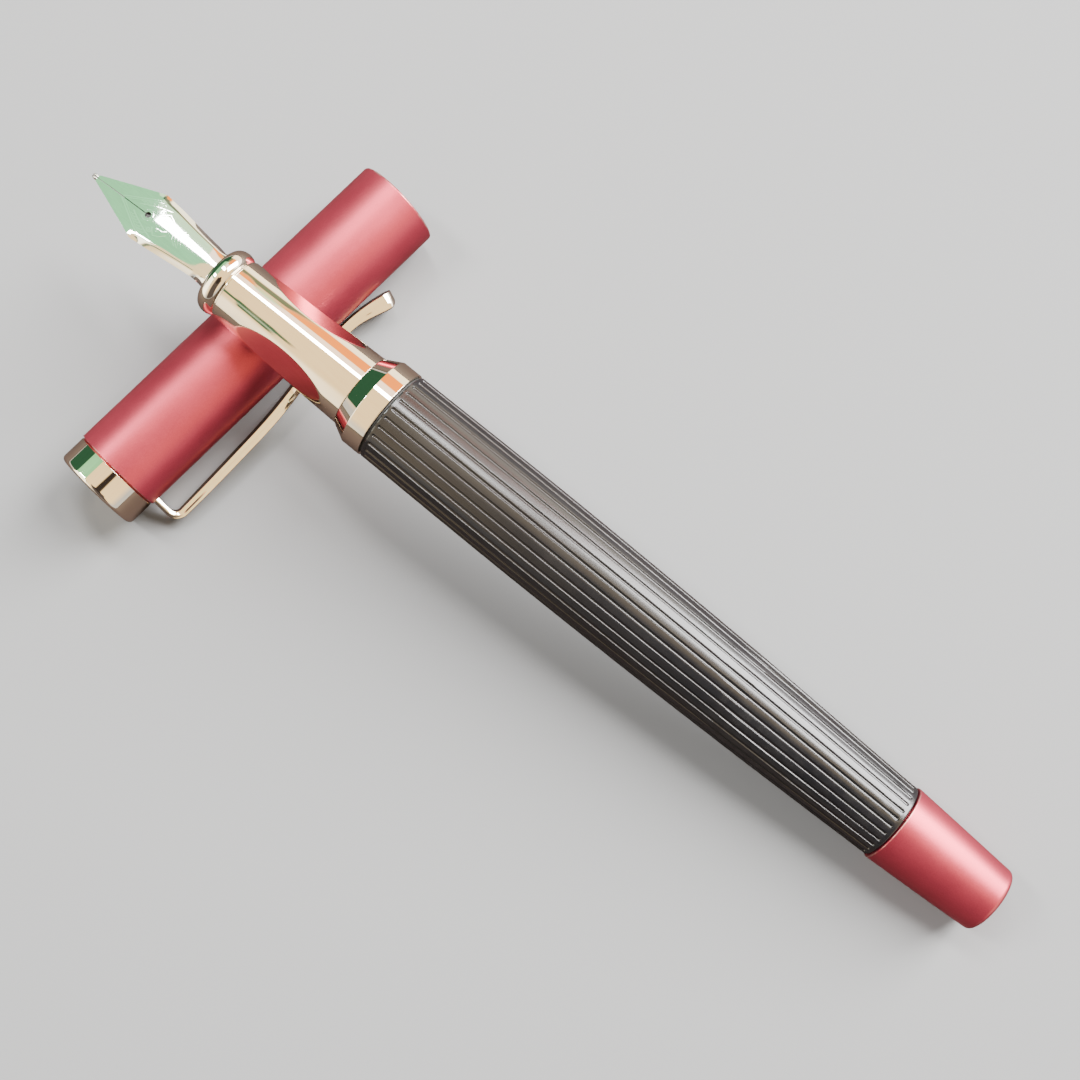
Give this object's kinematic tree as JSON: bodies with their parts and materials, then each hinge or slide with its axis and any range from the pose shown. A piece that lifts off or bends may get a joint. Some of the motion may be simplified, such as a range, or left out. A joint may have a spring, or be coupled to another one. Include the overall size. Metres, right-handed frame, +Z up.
{
  "type": "fountain pen",
  "caption": "Slim metal fountain pen with a fluted barrel, lying uncapped across its clip cap; the nib unit, barrel, converter and clip all move.",
  "frame": {"origin": "on the surface the pen lies on, under the middle of the bounding box of pen and cap", "axes": "+X roughly along the pen, from the nib towards the barrel's end; +Y along the cap, towards its mouth; +Z up"},
  "size_m": [0.1334, 0.0518, 0.0205],
  "materials": {
    "red_lacquer": "satin metallic cherry red lacquer over brass",
    "black_lacquer": "satin black lacquer over brass",
    "polished_chrome": "mirror polished, slightly warm",
    "nib_steel": "bright polished steel",
    "tipping_alloy": "ground hard alloy",
    "brass": "machined",
    "black_plastic": "moulded, low gloss",
    "clear_plastic": "clear moulded",
    "black_rubber": "matt"
  },
  "bodies": {
    "cap": {"cap_tube": "red_lacquer", "cap_liner": "black_plastic", "clip_ring": "polished_chrome", "finial": "polished_chrome", "finial_screw": "nib_steel"},
    "clip": {"clip": "polished_chrome"},
    "grip": {"grip_sleeve": "polished_chrome", "grip_core": "black_plastic", "trim_ring": "polished_chrome", "seal_ring": "black_rubber"},
    "nib_unit": {"nib": "nib_steel", "nib_tip_left": "tipping_alloy", "nib_tip_right": "tipping_alloy", "feed": "black_plastic", "nib_housing": "black_plastic"},
    "barrel_bush": {"barrel_bush": "brass"},
    "barrel": {"barrel_shell": "black_lacquer", "end_cap": "red_lacquer", "tail_plug": "brass"},
    "converter": {"converter_collar": "black_plastic", "converter_tube": "clear_plastic", "converter_sleeve": "polished_chrome", "converter_nut": "black_plastic"},
    "knob": {"converter_knob": "polished_chrome"},
    "piston": {"piston_seal": "black_rubber", "piston_rod": "black_plastic"}
  },
  "joints": [
    {"name": "pen_lift", "type": "slide", "parent": "cap", "child": "grip", "axis": [0, 0, 1], "range_m": [0, 0.05]},
    {"name": "clip_flex", "type": "hinge", "parent": "cap", "child": "clip", "pos_m": [-0.03828, -0.0216, 0.00317], "axis": [-0.4817, 0, -0.8763], "range_deg": [0, 4], "stiffness_Nm_per_rad": 4},
    {"name": "nib_unit_draw", "type": "slide", "parent": "grip", "child": "nib_unit", "axis": [-0.9898, -0.0953, 0.1063], "range_m": [0, 0.014]},
    {"name": "barrel_draw", "type": "slide", "parent": "grip", "child": "barrel_bush", "axis": [0.9898, 0.0953, -0.1063], "range_m": [0, 0.075]},
    {"name": "barrel_turn", "type": "hinge", "parent": "barrel_bush", "child": "barrel", "pos_m": [-0.06639, 0.00065, 0.01832], "axis": [0.9898, 0.0953, -0.1063], "continuous": true},
    {"name": "converter_draw", "type": "slide", "parent": "grip", "child": "converter", "axis": [0.9898, 0.0953, -0.1063], "range_m": [0, 0.006]},
    {"name": "knob_turn", "type": "hinge", "parent": "converter", "child": "knob", "pos_m": [-0.06639, 0.00065, 0.01832], "axis": [0.9898, 0.0953, -0.1063], "range_deg": [0, 1800]},
    {"name": "piston_travel", "type": "slide", "parent": "converter", "child": "piston", "axis": [-0.9898, -0.0953, 0.1063], "range_m": [0, 0.0219]}
  ],
  "couplings": [
    {"joint": "knob_turn", "follows": "piston_travel", "rad_per_m": 1428.6}
  ]
}
